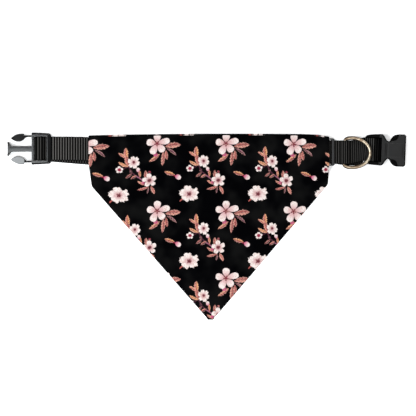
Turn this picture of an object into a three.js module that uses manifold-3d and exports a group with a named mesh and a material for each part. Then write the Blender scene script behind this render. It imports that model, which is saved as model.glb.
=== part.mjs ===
// A slip-on dog bandana on its adjustable nylon collar, unbuckled and laid flat.
// Millimetres. X runs along the collar from the male buckle half (-X) to the female half (+X),
// Y runs up the bandana from its tip, Z is up from the surface that it all lies on.
import * as THREE from 'three';
import { mergeVertices } from 'three/addons/utils/BufferGeometryUtils.js';
import Module from 'manifold-3d';

const wasm = await Module();
wasm.setup();

// ---- driving dimensions ----
const gap = 0.3; // clearance between neighbouring pieces
const webWidth = 24.8; // nylon webbing, one inch
const webThick = 1.2;
const clothWall = 1.0;
const seamY = 43; // row of stitches that closes the sleeve
const tipX = 4.1;
const tipY = -97.4;
const tipHalf = 2.6; // half the width of the blunt tip
const liftOff = 0.2; // webbing over the surface where nothing presses it down

const buckleHalf = 16.7; // half the width of either buckle half
const slotHalf = 12.8; // half the width of a webbing slot
const maleY = 80.75;
const femaleX = 185.95;
const femaleY = 79.2;
const femaleTurn = -2.2; // degrees
const armFloor = 1.2; // underside of the male half's post and arms
const armThick = 4.2;
const frameThick = 6.4; // male frame
const frameChamfer = 1.8; // moulded outer edges of the male frame
const socketChamfer = 1.4; // and of the female half
const socketWall = 1.9;
const socketHeight = 5.4;
const strapEndThick = 4.7; // female half where the webbing is looped

const slider = { x: 122.35, y: 77.1, z: 4.9, length: 22.4, width: 28.6, thick: 1.8, tilt: 12.0,
  bar: 3.6, middleBar: 4.0, rail: 1.4, edge: 0.6 };
const ring = { x: 143.7, y: 76.7, z: 3.6, wire: 1.9, half: 15.4, cornerX: 7.0, cornerY: 3.1, depth: 26.9,
  tilt: 11.0, turn: -2.5, steps: 72, sides: 12 };

const degree = Math.PI / 180;

// ---- helpers ----
function smooth(t) {
  const c = THREE.MathUtils.clamp(t, 0, 1);
  return c * c * (3 - 2 * c);
}

function lookUp(table, key, value, at) { // linear between the rows of a table sorted by key
  const next = table.findIndex((row) => row[key] >= at);
  if (next === 0) return table[0][value];
  if (next < 0) return table[table.length - 1][value];
  const [a, b] = [table[next - 1], table[next]];
  return THREE.MathUtils.lerp(a[value], b[value], (at - a[key]) / (b[key] - a[key]));
}

function geometryOf(positions, triangles) {
  const geometry = new THREE.BufferGeometry();
  geometry.setAttribute('position', new THREE.Float32BufferAttribute(positions.flat(), 3));
  geometry.setIndex(triangles.flat());
  return geometry;
}

function solidOf(geometry) {
  const bare = geometry.clone();
  bare.deleteAttribute('normal');
  bare.deleteAttribute('uv');
  const merged = mergeVertices(bare, 1e-4);
  return new wasm.Manifold(new wasm.Mesh({
    numProp: 3,
    vertProperties: new Float32Array(merged.attributes.position.array),
    triVerts: new Uint32Array(merged.index.array),
  }));
}

function geometryOfSolid(solid) {
  const mesh = solid.getMesh();
  const geometry = new THREE.BufferGeometry();
  geometry.setAttribute('position', new THREE.BufferAttribute(new Float32Array(mesh.vertProperties), 3));
  geometry.setIndex(new THREE.BufferAttribute(new Uint32Array(mesh.triVerts), 1));
  return geometry;
}

function joined(geometries) {
  return geometries.map(solidOf).reduce((whole, solid) => whole.add(solid));
}

function cutFrom(solid, geometries) {
  return geometries.map(solidOf).reduce((rest, tool) => rest.subtract(tool), solid);
}

function prism(points, low, high) { // an outline in X and Y, from height low to height high
  const shape = new THREE.Shape(points.map(([x, y]) => new THREE.Vector2(x, y)));
  return new THREE.ExtrudeGeometry(shape, { depth: high - low, bevelEnabled: false })
    .translate(0, 0, low);
}

function moulded(points, low, high, edge) { // a prism whose top and bottom edges are chamfered
  const shape = new THREE.Shape(points.map(([x, y]) => new THREE.Vector2(x, y)));
  const settings = { bevelEnabled: true, bevelThickness: edge, bevelSize: edge, bevelOffset: -edge };
  return new THREE.ExtrudeGeometry(shape, { ...settings, depth: high - low - 2 * edge, bevelSegments: 1 })
    .translate(0, 0, low + edge);
}

function curve(points, steps) { // points of a smooth line through the given ones
  const line = new THREE.SplineCurve(points.map(([x, y]) => new THREE.Vector2(x, y)));
  return line.getPoints(steps).map(({ x, y }) => [x, y]);
}

function block(x, y, z) { // each of x, y and z is [low, high]
  return new THREE.BoxGeometry(x[1] - x[0], y[1] - y[0], z[1] - z[0])
    .translate((x[0] + x[1]) / 2, (y[0] + y[1]) / 2, (z[0] + z[1]) / 2);
}

function bar(x, y, z) { // a bar across the webbing with rounded long edges: a stadium in X and Z
  const radius = (z[1] - z[0]) / 2;
  const shape = new THREE.Shape();
  shape.absarc(x[1] - radius, 0, radius, -Math.PI / 2, Math.PI / 2);
  shape.absarc(x[0] + radius, 0, radius, Math.PI / 2, 1.5 * Math.PI);
  return new THREE.ExtrudeGeometry(shape, { depth: y[1] - y[0], bevelEnabled: false, curveSegments: 6 })
    .rotateX(Math.PI / 2)
    .translate(0, y[1], (z[0] + z[1]) / 2);
}

function rounded(half, radius, x, steps = 4) { // rounded corner points at the +Y and +X side of an outline
  return Array.from({ length: steps + 1 }, (_, i) => {
    const a = (Math.PI / 2) * (1 - i / steps);
    return [x - radius + radius * Math.cos(a), half - radius + radius * Math.sin(a)];
  });
}

function mirrored(points) { // closes a half outline, given with y above 0, with its mirror image
  return [...points, ...points.map(([x, y]) => [x, -y]).reverse()];
}

// A flat webbing laid along a route in X and Z whose corners are rounded, y being its middle line
// and turn the angle of its width in plan.
function webbing(route, arcStep = 15) {
  const stations = [];
  route.forEach((corner, i) => {
    const here = new THREE.Vector2(corner.x, corner.z);
    if (!corner.r) {
      stations.push({ ...corner, at: here });
      return;
    }
    const before = new THREE.Vector2(route[i - 1].x, route[i - 1].z).sub(here);
    const after = new THREE.Vector2(route[i + 1].x, route[i + 1].z).sub(here);
    const turned = Math.PI - Math.acos(before.dot(after) / (before.length() * after.length()));
    const reach = corner.r * Math.tan(turned / 2);
    const start = here.clone().addScaledVector(before.normalize(), reach);
    const inward = before.clone().add(after.normalize()).normalize();
    const centre = here.clone().addScaledVector(inward, Math.hypot(corner.r, reach));
    const side = Math.sign(-before.cross(after)) || 1;
    const count = Math.max(1, Math.ceil(turned / degree / arcStep));
    for (let k = 0; k <= count; k += 1) {
      stations.push({ ...corner, at: start.clone().rotateAround(centre, (side * turned * k) / count) });
    }
  });
  const positions = [];
  stations.forEach(({ at, y, turn = 0 }, i) => {
    const ahead = stations[Math.min(i + 1, stations.length - 1)].at;
    const behind = stations[Math.max(i - 1, 0)].at;
    const along = ahead.clone().sub(behind).normalize();
    const up = new THREE.Vector2(-along.y, along.x).multiplyScalar(webThick / 2);
    for (const [side, face] of [[-1, -1], [1, -1], [1, 1], [-1, 1]]) {
      const across = (side * webWidth) / 2;
      positions.push([at.x + face * up.x - across * Math.sin(turn * degree),
        y + across * Math.cos(turn * degree), at.y + face * up.y]);
    }
  });
  const triangles = [[0, 2, 1], [0, 3, 2]];
  for (let i = 0; i + 1 < stations.length; i += 1) {
    for (let k = 0; k < 4; k += 1) {
      const [a, b] = [4 * i + k, 4 * i + ((k + 1) % 4)];
      triangles.push([a, b, b + 4], [a, b + 4, a + 4]);
    }
  }
  const end = 4 * (stations.length - 1);
  triangles.push([end, end + 1, end + 2], [end, end + 2, end + 3]);
  return geometryOf(positions, triangles);
}

// ---- the collar's webbing ----
const sleeveFloor = clothWall + gap + webThick / 2; // middle of the lower run inside the sleeve
const layer = webThick + gap; // from one loose run to the next
const sewn = webThick + 0.1; // from one sewn ply to the next
const ground = liftOff + webThick / 2;

const sliderSin = Math.sin(slider.tilt * degree);
const sliderCos = Math.cos(slider.tilt * degree);
function onSlider(along, above) { // a point given in the tilted slider's own directions
  return { x: slider.x + along * sliderCos + above * sliderSin,
    z: slider.z - along * sliderSin + above * sliderCos };
}
const wrapAbove = slider.thick / 2 + gap + webThick / 2;
const wrapBeside = slider.middleBar / 2 + gap + webThick / 2;

const maleBar = { x: [-175.1, -170.7], z: [1.9, 4.3] };
const maleWrap = { x: maleBar.x[0] - gap - webThick / 2, high: maleBar.z[1] + gap + webThick / 2,
  low: maleBar.z[0] - gap - webThick / 2 };
const slackMale = -178.7;

const femaleBar = { u: [-20.8, -11.5], z: [liftOff + webThick + gap, 3.7] };
const femaleWrap = { u: femaleBar.u[1] + gap + webThick / 2, high: femaleBar.z[1] + gap + webThick / 2 };
const femaleWrapX = femaleX + femaleWrap.u;
const slackFemale = 180.5;
const ringClear = ring.wire + gap + webThick / 2;

const tailEnd = 84; // the sewn end at the slider
const foldEnd = 136.6; // the sewn end at the D-ring

const collarRoute = [
  // the sewn end, folded back under the slider's first bar and round its middle bar
  { x: tailEnd, z: sleeveFloor + sewn, y: 77.1 },
  { x: 116.4, z: sleeveFloor + sewn, r: 1.2, y: 77.1 },
  { ...onSlider(-wrapBeside, wrapAbove), r: 1.0, y: 77.1 },
  { ...onSlider(wrapBeside, wrapAbove), r: 1.0, y: 77.1 },
  { x: onSlider(wrapBeside, 0).x + 0.2, z: sleeveFloor, r: 1.6, y: 77.1 },
  // the lower run, back through the sleeve to the male half
  { x: 104, z: sleeveFloor, y: 77.0 },
  { x: 40, z: sleeveFloor, y: 75.7 },
  { x: -50, z: sleeveFloor, y: 74.9 },
  { x: -123.2, z: sleeveFloor, y: 76.4 },
  { x: -131, z: ground, y: 76.9 },
  { x: -152, z: ground, y: 78.6 },
  { x: -161.7, z: ground, y: 79.5 },
  { x: -166.4, z: ground, y: 80.4 },
  { x: -170, z: maleWrap.low, y: 80.7 },
  { x: slackMale, z: maleWrap.low - 0.1, r: 0.9, y: 80.75 }, // the loop is slack and fills the opening
  { x: slackMale, z: maleWrap.low + 1.9, r: 0.9, y: 80.75 },
  { x: maleWrap.x + 0.2, z: maleWrap.high, r: 1.6, y: 80.8 },
  // the upper run, forward through the sleeve
  { x: maleBar.x[1] - 0.4, z: maleWrap.high, r: 2.6, y: 80.8 },
  { x: -167.2, z: ground + layer, r: 2.4, y: 80.9 },
  { x: -131, z: ground + layer, y: 80.65 },
  { x: -123.2, z: sleeveFloor + layer, y: 80.2 },
  { x: 92, z: sleeveFloor + layer, y: 77.4 },
  { x: 104, z: sleeveFloor + sewn + layer, y: 77.2 },
  { x: 115.2, z: sleeveFloor + sewn + layer, r: 2.0, y: 77.1 },
  { ...onSlider(-wrapBeside, wrapAbove + layer), r: 2.4, y: 77.1 },
  { ...onSlider(wrapBeside + 0.9, wrapAbove + layer), r: 2.2, y: 77.1 },
  { x: 128.2, z: ground, r: 1.4, y: 77.1 },
  // past the slider: over the D-ring's bar and on to the female half
  { x: 134.2, z: ground, y: 77.1 },
  { x: 136.8, z: ground + sewn, y: 76.9 },
  { x: 138.9, z: ground + sewn, r: 1.0, y: 76.8 },
  { x: 140.6, z: ring.z + ringClear + 0.3, r: 1.9, y: 76.7 },
  { x: 147.1, z: ring.z + ringClear + 0.3, r: 1.9, y: 76.7 },
  { x: 148.8, z: ground + sewn, r: 1.0, y: 76.8 },
  { x: 154.5, z: ground + sewn, y: 77.9 },
  { x: 163.6, z: femaleWrap.high, y: 80.0, turn: femaleTurn },
  { x: femaleWrapX, z: femaleWrap.high, r: 1.6, y: 79.6, turn: femaleTurn },
  { x: femaleWrapX + 0.3, z: ground + layer, r: 0.7, y: 79.6, turn: femaleTurn }, // the loop is slack
  { x: slackFemale, z: ground + layer, r: 0.7, y: 79.4, turn: femaleTurn }, // and fills the slot low down
  { x: slackFemale, z: ground, r: 0.7, y: 79.4, turn: femaleTurn },
  { x: 163.6, z: ground, y: 80.0, turn: femaleTurn },
  { x: 162.2, z: ground, y: 76.6 },
  { x: 156, z: ground, y: 75.6 },
  { x: 146, z: ground, y: 75.7 },
  { x: foldEnd, z: ground, y: 76.7 },
];

function stitchedBlock(x, y, low) { // where two plies are sewn through they are one body
  const half = webWidth / 2 - 1.5;
  return block(x, [y - half, y + half], [low, low + sewn]);
}

function collarWebbing() {
  return geometryOfSolid(joined([
    webbing(collarRoute),
    stitchedBlock([tailEnd + 1, tailEnd + 26], 76.9, sleeveFloor),
    stitchedBlock([foldEnd + 0.3, 138.4], 77.1, ground),
    stitchedBlock([149.2, 153.4], 77.5, ground),
  ]));
}

// ---- tri-glide slider ----
function triGlide() {
  const [half, wide] = [slider.length / 2, slider.width / 2];
  const outline = mirrored([
    ...rounded(wide, 2, half).map(([x, y]) => [-x, y]).reverse(),
    ...rounded(wide, 2, half),
  ]);
  const slot = [slider.middleBar / 2, half - slider.bar];
  const open = [-(wide - slider.rail), wide - slider.rail];
  const through = [-slider.thick, slider.thick];
  const blank = moulded(outline, -slider.thick / 2, slider.thick / 2, slider.edge);
  return geometryOfSolid(cutFrom(solidOf(blank), [
    block(slot, open, through),
    block([-slot[1], -slot[0]], open, through),
  ]));
}

// ---- male buckle half: frame with two slots, guide post and two spring arms ----
const maleFrame = { x: [-181.9, -161.7], front: 2.2, endBar: 4.5, corner: 3.0, taper: 0.8 };
const armChamfer = 0.7;
const barbFall = 1.8; // how far a barb's top falls towards its outer edge
const prongFall = 2.2; // the same at the post's tips
const prongOffset = -0.35; // the post and arms lie a little to one side of the frame's middle
const endBarFall = 2.2; // and the end bar's top towards the webbing

function maleBuckle() {
  const [left, right] = maleFrame.x;
  const corner = rounded(buckleHalf - maleFrame.taper, maleFrame.corner, right, 6);
  const blankLeft = left - 2 * frameChamfer;
  const frame = mirrored([[blankLeft, buckleHalf], [left, buckleHalf], ...corner]);
  const opening = [left + maleFrame.front, right - maleFrame.endBar];
  const channelTop = ground + layer + webThick / 2 + gap;
  const post = mirrored([
    [left + 1.5, 2.95], ...curve([[-200.6, 2.95], [-202.6, 3.2], [-203.9, 4.1], [-205.1, 6.2]], 8),
    [-205.6, 7.1], [-206.5, 7.4], [-207.4, 6.9], [-207.4, 6.1], [-206.9, 4.6],
  ]);
  const arm = [
    [left + 1.5, 14.2], [-189.9, 14.2], [-189.7, 15.3], [-190.5, 15.9],
    ...curve([[-193.0, 15.9], [-197.4, 15.2], [-201.0, 13.2], [-203.2, 11.7]], 9), [-203.6, 11.0],
    ...curve([[-203.0, 10.3], [-199.2, 8.2], [-195.6, 7.6], [-191.9, 8.5], [-189.0, 11.1],
      [-186.6, 12.4]], 12),
    [left + 1.5, 12.4],
  ];
  const armTop = armFloor + armThick;
  const postTop = armTop - 0.4;
  const fallAway = ({ y, fall, top, x }) => [1, -1].map((side) => { // tops that fall away outwards
    const profile = [[y[0], 0], [y[1], -fall], [y[1], 2], [y[0], 2]];
    return prism(profile.map(([v, z]) => [side * v, top + z]), ...x)
      .rotateX(Math.PI / 2).rotateZ(Math.PI / 2);
  });
  const across = [-buckleHalf - 1, buckleHalf + 1];
  const slopeStart = opening[1] + 0.9;
  const endSlope = prism([[slopeStart, frameThick], [right, frameThick - endBarFall],
    [right + 1, frameThick - endBarFall], [right + 1, frameThick + 1], [slopeStart, frameThick + 1]],
  ...across);
  const arms = [arm, arm.map(([x, y]) => [x, -y])]
    .map((outline) => moulded(outline, armFloor, armTop, armChamfer));
  const solid = cutFrom(solidOf(moulded(frame, 0, frameThick, frameChamfer)), [
    block([blankLeft - 1, left], across, [-1, frameThick + 1]), // leaves a plain front face
    block(opening, [-slotHalf, slotHalf], [-1, frameThick + 1]),
    block([opening[1] - 3, right + 1], [-slotHalf - 1.3, slotHalf + 1.3], [-1, channelTop]),
    endSlope.rotateX(Math.PI / 2),
  ]);
  const prong = [
    cutFrom(solidOf(moulded(post, armFloor, postTop, 0.5)),
      fallAway({ y: [3.6, 7.6], fall: prongFall, top: postTop, x: [-208, -203.4] })),
    solidOf(block([-205.2, left + 1.5], [-1.2, 1.2], [armFloor + 1, armTop])), // ridge along the post
    cutFrom(joined(arms),
      fallAway({ y: [7.0, buckleHalf], fall: barbFall, top: armTop, x: [-204.5, -189.3] })),
  ].map((piece) => piece.translate([0, prongOffset, 0]));
  return geometryOfSolid([
    solidOf(bar(maleBar.x, [-slotHalf - 1, slotHalf + 1], maleBar.z)),
    ...prong,
  ].reduce((whole, piece) => whole.add(piece), solid));
}

// ---- female buckle half: hollow socket with side windows, webbing slot and end bar ----
const socket = { inner: -4.1, pocket: -1.5, mouth: 21.0, half: 14.6, throatHalf: 8.0, wallStart: 13.9 };
const femaleThick = 2 * socketWall + socketHeight;

function femaleBuckle() {
  const outline = mirrored([
    [-21.3, 12.6], ...curve([[-20.9, 13.5], [-18.6, 15.0], [-13, 15.9], [-5, 16.3]], 8),
    ...curve([[-3.4, 16.2], [-1.9, 14.8], [0.4, 11.0], [1.9, 9.6], [3.2, 9.1], [4.3, 9.7], [5.4, 11.4],
      [6.9, 13.9], [9.2, 15.8], [12.4, buckleHalf]], 26),
    [19.2, buckleHalf], [20.5, 16.1], [21.0, 14.8],
  ]);
  const scoop = (side) => { // the upper plate is scooped away over each side window
    const circle = new THREE.CylinderGeometry(6.1, 6.1, 4, 36).rotateX(Math.PI / 2);
    return circle.translate(7.0, side * 15.5, socketWall + socketHeight + 1.8);
  };
  const beyond = buckleHalf + 1;
  const hollow = [socketWall, socketWall + socketHeight];
  const channel = femaleBar.u;
  const strapEnd = cutFrom(solidOf(moulded(outline, 0, strapEndThick, socketChamfer)), [
    block([-6.6, 22], [-beyond, beyond], [-1, femaleThick]),
  ]);
  const box = cutFrom(solidOf(moulded(outline, 0, femaleThick, socketChamfer)), [
    block([-22, -6.6], [-beyond, beyond], [-1, femaleThick + 1]),
  ]);
  const body = cutFrom(strapEnd.add(box), [
    block([channel[0] - 2, channel[1]], [-slotHalf, slotHalf], [femaleBar.z[1], femaleThick]),
    block([channel[0] - 2, channel[1]], [-slotHalf, slotHalf], [-1, femaleBar.z[0]]),
    block([channel[1] - 2, socket.inner], [-slotHalf, slotHalf], [-1, femaleThick + 1]), // webbing slot
    block([socket.inner - 1, socket.pocket + 1], [-socket.throatHalf, socket.throatHalf], hollow),
    block([socket.pocket, socket.mouth + 1], [-socket.half, socket.half], hollow),
    block([4.5, socket.wallStart], [-beyond, beyond], hollow), // side windows
    scoop(1),
    scoop(-1),
  ]);
  const slope = new THREE.BufferGeometry(); // the shoulder between the strap end and the socket
  slope.copy(prism([[-10.5, strapEndThick], [-3.6, strapEndThick + 8], [-10.5, strapEndThick + 8]],
    -beyond, beyond).rotateX(Math.PI / 2));
  const panelHalf = 7.1;
  const panel = block([2.6, 17.6], [-panelHalf, panelHalf], [femaleThick - 1, femaleThick + 0.5]);
  const lines = [-0.4, 1.1].map((u) => { // fine grooves beside the panel
    return block([u, u + 0.4], [-panelHalf, panelHalf], [femaleThick - 0.4, femaleThick + 1]);
  });
  const endBar = bar([channel[1] - 4, channel[1]], [-slotHalf - 1, slotHalf + 1], femaleBar.z);
  return geometryOfSolid(cutFrom(body, [slope, ...lines]).add(solidOf(panel)).add(solidOf(endBar)));
}

// ---- D-ring: a closed ring of round wire, its straight bar on the joint's axis ----
function ringCentreLine() { // the straight bar lies along Y through the origin, the bow towards +X
  const path = new THREE.Path();
  const { half, cornerX, cornerY, depth } = ring;
  path.moveTo(0, 0);
  path.lineTo(0, half - cornerY);
  path.absellipse(cornerX, half - cornerY, cornerX, cornerY, Math.PI, Math.PI / 2, true);
  path.absellipse(cornerX, 0, depth - cornerX, half, Math.PI / 2, -Math.PI / 2, true);
  path.absellipse(cornerX, cornerY - half, cornerX, cornerY, -Math.PI / 2, -Math.PI, true);
  path.closePath();
  return path.getSpacedPoints(ring.steps).slice(0, ring.steps);
}

function dRing() {
  const line = ringCentreLine();
  const positions = [];
  line.forEach((point, i) => {
    const ahead = line[(i + 1) % line.length].clone().sub(line[(i + line.length - 1) % line.length]);
    const out = new THREE.Vector2(-ahead.y, ahead.x).normalize();
    for (let k = 0; k < ring.sides; k += 1) {
      const a = (2 * Math.PI * k) / ring.sides;
      const across = ring.wire * Math.cos(a);
      positions.push([point.x + across * out.x, point.y + across * out.y, ring.wire * Math.sin(a)]);
    }
  });
  const triangles = [];
  line.forEach((_, i) => {
    const next = (i + 1) % line.length;
    for (let k = 0; k < ring.sides; k += 1) {
      const after = (k + 1) % ring.sides;
      const [a, b] = [i * ring.sides + k, i * ring.sides + after];
      const [c, d] = [next * ring.sides + k, next * ring.sides + after];
      triangles.push([a, b, c], [b, d, c]);
    }
  });
  return geometryOf(positions, triangles);
}

// ---- bandana: a triangle of cloth whose top is folded back and sewn into a sleeve ----
const sideEdges = [ // where the cloth's two side edges run
  { y: tipY, left: tipX - tipHalf, right: tipX + tipHalf },
  { y: -95.4, left: 0.4, right: 8.0 },
  { y: 40.9, left: -118.9, right: 124.2 },
  { y: 44.0, left: -119.7, right: 126.1 },
  { y: 54.0, left: -120.9, right: 126.7 },
  { y: 62.0, left: -122.0, right: 126.9 },
  { y: 66.0, left: -122.4, right: 127.2 },
  { y: 98.0, left: -122.4, right: 127.2 },
];
const foldEdge = [ // the top fold
  { x: -122.4, y: 94.1 }, { x: -90, y: 94.9 }, { x: -40, y: 95.6 }, { x: 0, y: 95.9 }, { x: 60, y: 95.9 },
  { x: 98, y: 95.6 }, { x: 114, y: 94.9 }, { x: 121, y: 94.0 }, { x: 127.2, y: 92.8 },
];
const overCollar = [ // clear height inside the sleeve over the webbing, and at the fold
  { x: -122.4, clear: 5.0, fold: 5.0 },
  { x: -100, clear: 4.6, fold: 4.6 },
  { x: -60, clear: 4.6, fold: 4.5 },
  { x: -10, clear: 4.6, fold: 3.8 },
  { x: 60, clear: 4.6, fold: 2.8 },
  { x: 92, clear: 5.0, fold: 3.0 },
  { x: 104, clear: 6.8, fold: 4.6 },
  { x: 110.5, clear: 8.7, fold: 7.6 },
  { x: 116, clear: 9.4, fold: 8.3 },
  { x: 120, clear: 9.8, fold: 8.5 },
  { x: 124, clear: 9.4, fold: 7.8 },
  { x: 127.2, clear: 8.8, fold: 7.2 },
];
const sleeveColumns = [-122.4, -117, -106, -94, -82, -70, -58, -46, -34, -22, -10, 2, 14, 26, 38, 50, 62,
  74, 84, 92, 98, 104, 107.5, 110.5, 113, 116, 118, 120, 122, 124, 125.6, 127.2];
const sleeveRows = [0, 0.07, 0.15, 0.25, 0.42, 0.58, 0.66, 0.75, 0.85, 0.94, 1]; // from the fold to the seam
const flapRows = 17;
const foldRadius = 1.9;
const foldSteps = 5;
const waveHeight = 1.1;

function collarMiddle(x) { // middle line of the webbing inside the sleeve
  return THREE.MathUtils.mapLinear(x, -118, 115, 80.0, 77.1);
}

function clearHeight(x, y) { // inner height of the sleeve's front sheet over the surface
  const plateau = webWidth / 2 + 1.6;
  const over = lookUp(overCollar, 'x', 'clear', x);
  const d = y - collarMiddle(x);
  if (d > plateau - 1.2) {
    const fold = lookUp(overCollar, 'x', 'fold', x);
    const room = lookUp(foldEdge, 'x', 'y', x) - clothWall - collarMiddle(x) - plateau + 1.2;
    return THREE.MathUtils.lerp(over, fold, smooth((d - plateau + 1.2) / Math.max(room, 1)) * 0.9);
  }
  if (d < -plateau) {
    const room = collarMiddle(x) - plateau - seamY;
    return THREE.MathUtils.lerp(over, clothWall + 0.2, smooth((-d - plateau) / room));
  }
  return over;
}

function wave(x, y) { // soft waves where the loose flap lifts off the surface
  const fade = smooth((seamY - 6 - y) / 40) * smooth((y - tipY) / 25);
  const along = 0.5 + 0.5 * Math.sin(0.062 * x + 0.03 * y + 0.6);
  const down = 0.6 + 0.4 * Math.sin(0.05 * y - 0.9);
  return fade * waveHeight * along * down;
}

function clothPoint(share, y, z) { // share runs from the left side edge to the right one
  const left = lookUp(sideEdges, 'y', 'left', y);
  const right = lookUp(sideEdges, 'y', 'right', y);
  return [THREE.MathUtils.lerp(left, right, share), y, z];
}

function clothColumn(sleeveX) { // one section of the cloth: an outer loop, and the sleeve's inner loop
  const share = (sleeveX - sleeveColumns[0]) / (sleeveColumns[sleeveColumns.length - 1] - sleeveColumns[0]);
  const fold = lookUp(foldEdge, 'x', 'y', sleeveX);
  const top = [];
  const bottom = [];
  const ys = sleeveRows.map((t) => THREE.MathUtils.lerp(fold - foldRadius, seamY, t));
  for (const y of ys) {
    const [x] = clothPoint(share, y, 0);
    top.push([x, y, clearHeight(x, y) + clothWall]);
    bottom.push([x, y, 0]);
  }
  for (let i = 1; i <= flapRows; i += 1) {
    const y = THREE.MathUtils.lerp(seamY, tipY, (i / flapRows) ** 1.15);
    const [x] = clothPoint(share, y, 0);
    const under = wave(x, y);
    const settle = clothWall + 1.1 * (1 - smooth((seamY - y) / 9));
    top.push([x, y, under + settle]);
    bottom.push([x, y, under]);
  }
  const turnOver = (radius, middle, low, high) => Array.from({ length: foldSteps - 1 }, (_, i) => {
    const a = -Math.PI / 2 + (Math.PI * (i + 1)) / foldSteps;
    return [sleeveX, middle + radius * Math.cos(a), (low + high) / 2 + ((high - low) / 2) * Math.sin(a)];
  });
  const outer = [...bottom.reverse(), ...turnOver(foldRadius, fold - foldRadius, 0, top[0][2]), ...top];
  const insideRows = ys.slice(0, -1);
  const ceiling = insideRows.map((y) => {
    const [x] = clothPoint(share, y, 0);
    return [x, y, Math.max(clearHeight(x, y), clothWall + 0.25)];
  });
  const floor = insideRows.map((y) => clothPoint(share, y, clothWall));
  const inner = [...floor.reverse(),
    ...turnOver(foldRadius - clothWall, fold - foldRadius, clothWall, ceiling[0][2]), ...ceiling];
  return { outer, inner };
}

function loftLoops(loops, offset, inward, triangles) { // closed loops of equal length, side by side
  const size = loops[0].length;
  for (let i = 0; i + 1 < loops.length; i += 1) {
    for (let k = 0; k < size; k += 1) {
      const next = (k + 1) % size;
      const [a, b] = [offset + i * size + k, offset + i * size + next];
      const [c, d] = [a + size, b + size];
      if (inward) triangles.push([a, d, b], [a, c, d]);
      else triangles.push([a, b, d], [a, d, c]);
    }
  }
}

function bandana() {
  const columns = sleeveColumns.map(clothColumn);
  const outers = columns.map((c) => c.outer);
  const inners = columns.map((c) => c.inner);
  const innerStart = outers.length * outers[0].length;
  const positions = [...outers.flat(), ...inners.flat()];
  const triangles = [];
  loftLoops(outers, 0, false, triangles);
  loftLoops(inners, innerStart, true, triangles);
  for (const end of [0, columns.length - 1]) { // the cloth's cut edge at either end of the sleeve
    const bow = 0.002; // bends straight runs a little, so that none of their points is left out
    const flat = (loop) => loop.map(([, y, z]) => new THREE.Vector2(y, z + bow * y * y));
    const index = [...outers[end].map((_, k) => end * outers[0].length + k),
      ...inners[end].map((_, k) => innerStart + end * inners[0].length + k)];
    for (const [a, b, c] of THREE.ShapeUtils.triangulateShape(flat(outers[end]), [flat(inners[end])])) {
      const [p, q, r] = [index[a], index[b], index[c]];
      triangles.push(end === 0 ? [p, r, q] : [p, q, r]);
    }
  }
  return geometryOf(positions, triangles);
}

// ---- materials ----
const finishes = {
  cloth: { color: 0x0d0d0f, roughness: 0.8, metalness: 0 },
  webbing: { color: 0x1b1b1c, roughness: 0.75, metalness: 0 },
  plastic: { color: 0x232426, roughness: 0.45, metalness: 0 },
  nickel: { color: 0xc9bda8, roughness: 0.22, metalness: 1 },
};

function part(name, geometry, finish) {
  const mesh = new THREE.Mesh(geometry, new THREE.MeshStandardMaterial(finishes[finish]));
  mesh.name = name;
  return mesh;
}

// ---- assembly ----
const dogBandana = new THREE.Group();
dogBandana.add(part('bandana', bandana(), 'cloth'));
dogBandana.add(part('collar_webbing', collarWebbing(), 'webbing'));

const glide = part('tri_glide', triGlide(), 'plastic');
glide.position.set(slider.x, slider.y, slider.z);
glide.rotation.y = slider.tilt * degree;
dogBandana.add(glide);

const male = part('male_buckle', maleBuckle(), 'plastic');
male.position.y = maleY;
dogBandana.add(male);

const female = part('female_buckle', femaleBuckle(), 'plastic');
female.position.set(femaleX, femaleY, 0);
female.rotation.z = femaleTurn * degree;
dogBandana.add(female);

const ringSeat = new THREE.Group(); // on the ring's bar, which the webbing holds
ringSeat.position.set(ring.x, ring.y, ring.z);
ringSeat.rotation.z = ring.turn * degree;
const leashRing = part('d_ring', dRing(), 'nickel');
leashRing.rotation.y = -ring.tilt * degree;
ringSeat.add(leashRing);
dogBandana.add(ringSeat);

export default dogBandana;
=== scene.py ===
import math
import bmesh
import bpy
import numpy as np
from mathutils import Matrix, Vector


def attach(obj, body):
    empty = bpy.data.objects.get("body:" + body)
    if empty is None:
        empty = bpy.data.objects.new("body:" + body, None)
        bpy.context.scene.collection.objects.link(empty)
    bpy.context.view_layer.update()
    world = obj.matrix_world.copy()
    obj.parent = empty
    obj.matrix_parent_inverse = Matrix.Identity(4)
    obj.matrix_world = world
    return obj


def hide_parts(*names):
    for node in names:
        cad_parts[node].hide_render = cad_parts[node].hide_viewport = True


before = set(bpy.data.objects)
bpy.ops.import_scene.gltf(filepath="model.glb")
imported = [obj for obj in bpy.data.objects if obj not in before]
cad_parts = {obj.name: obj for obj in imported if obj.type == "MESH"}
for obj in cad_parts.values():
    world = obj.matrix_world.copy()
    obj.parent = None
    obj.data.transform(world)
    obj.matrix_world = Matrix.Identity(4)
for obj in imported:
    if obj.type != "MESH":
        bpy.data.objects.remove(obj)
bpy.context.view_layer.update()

mm = 0.001
degree = math.pi / 180
collarBody = "collar"
ringBody = "leash_ring"


# small helpers for meshes

def smoothStep(t):
    c = np.clip(t, 0.0, 1.0)
    return c * c * (3 - 2 * c)


def lookUp(rows, at):
    xs, ys = zip(*rows)
    return np.interp(at, xs, ys)


def unit(vectors):
    return vectors / np.linalg.norm(vectors, axis=-1, keepdims=True)


def runningSum(steps):
    return np.concatenate([[0], np.cumsum(steps)])


def placed(name, data):
    thing = bpy.data.objects.new(name, data)
    bpy.context.scene.collection.objects.link(thing)
    return thing


def meshObject(name, points, faces):
    mesh = bpy.data.meshes.new(name)
    mesh.from_pydata([tuple(p) for p in points], [], [tuple(f) for f in faces])
    mesh.validate()
    mesh.update()
    mesh.shade_smooth()
    return placed(name, mesh)


def tubeFaces(count, sides, closed=False):  # the skin of count rings of points, each with so many sides
    faces = []
    for i in range(count if closed else count - 1):
        for k in range(sides):
            here, ahead, beside = i * sides, (i + 1) % count * sides, (k + 1) % sides
            faces.append((here + k, here + beside, ahead + beside, ahead + k))
    return faces


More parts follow.
